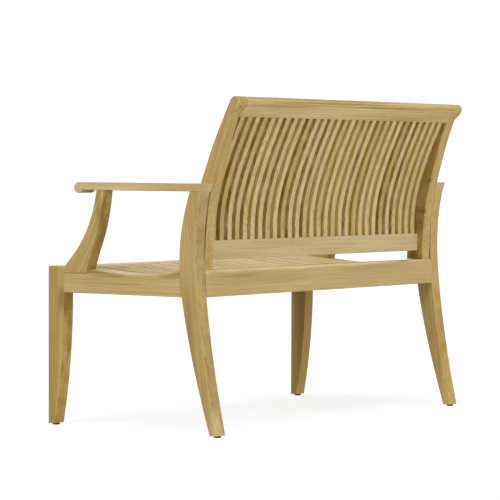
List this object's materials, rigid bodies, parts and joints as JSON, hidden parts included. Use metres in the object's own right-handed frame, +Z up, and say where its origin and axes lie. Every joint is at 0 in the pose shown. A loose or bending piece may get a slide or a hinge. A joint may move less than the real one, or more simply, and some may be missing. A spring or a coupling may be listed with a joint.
{
  "type": "garden bench",
  "caption": "Slatted wooden garden bench with curved legs, swept arm posts, flat arms and a tall curved slatted back with a rolled crest rail.",
  "frame": {"origin": "on the floor under the middle of the footprint, at the centre of the bounding box's base", "axes": "+Z up, -Y towards where the sitter faces, X across the width (+X is the sitter's left)"},
  "size_m": [1.2, 0.63, 0.9087],
  "materials": {
    "teak": "sanded, unfinished",
    "teak_slats": "sanded, unfinished",
    "pin_wood": "end grain, dark",
    "bolt_steel": "satin stainless",
    "glide_plastic": "matte"
  },
  "bodies": {
    "root": {"arm_post_left": "teak", "arm_post_right": "teak", "armrest_left": "teak", "armrest_right": "teak", "back_slat_01": "teak_slats", "back_slat_02": "teak_slats", "back_slat_03": "teak_slats", "back_slat_04": "teak_slats", "back_slat_05": "teak_slats", "back_slat_06": "teak_slats", "back_slat_07": "teak_slats", "back_slat_08": "teak_slats", "back_slat_09": "teak_slats", "back_slat_10": "teak_slats", "back_slat_11": "teak_slats", "back_slat_12": "teak_slats", "back_slat_13": "teak_slats", "back_slat_14": "teak_slats", "back_slat_15": "teak_slats", "back_slat_16": "teak_slats", "back_slat_17": "teak_slats", "back_slat_18": "teak_slats", "back_slat_19": "teak_slats", "back_slat_20": "teak_slats", "back_slat_21": "teak_slats", "back_slat_22": "teak_slats", "back_slat_23": "teak_slats", "back_slat_24": "teak_slats", "back_slat_25": "teak_slats", "back_slat_26": "teak_slats", "back_slat_27": "teak_slats", "back_slat_28": "teak_slats", "back_slat_29": "teak_slats", "back_stile_left": "teak", "back_stile_right": "teak", "crest_rail": "teak", "dowels_and_plugs": "pin_wood", "front_leg_left": "teak", "front_leg_right": "teak", "front_rail": "teak", "glides": "glide_plastic", "joint_pins": "pin_wood", "lower_back_rail": "teak", "rear_leg_left": "teak", "rear_leg_right": "teak", "rear_rail": "teak", "seat_bearer": "teak", "seat_slat_centre": "teak_slats", "seat_slats_1": "teak_slats", "seat_slats_2": "teak_slats", "seat_slats_3": "teak_slats", "seat_slats_4": "teak_slats", "seat_slats_5": "teak_slats", "seat_slats_6": "teak_slats", "seat_slats_7": "teak_slats", "seat_slats_outer": "teak_slats", "side_rail_left": "teak", "side_rail_right": "teak", "stile_bolts": "bolt_steel", "stile_spacers": "bolt_steel"}
  },
  "joints": []
}
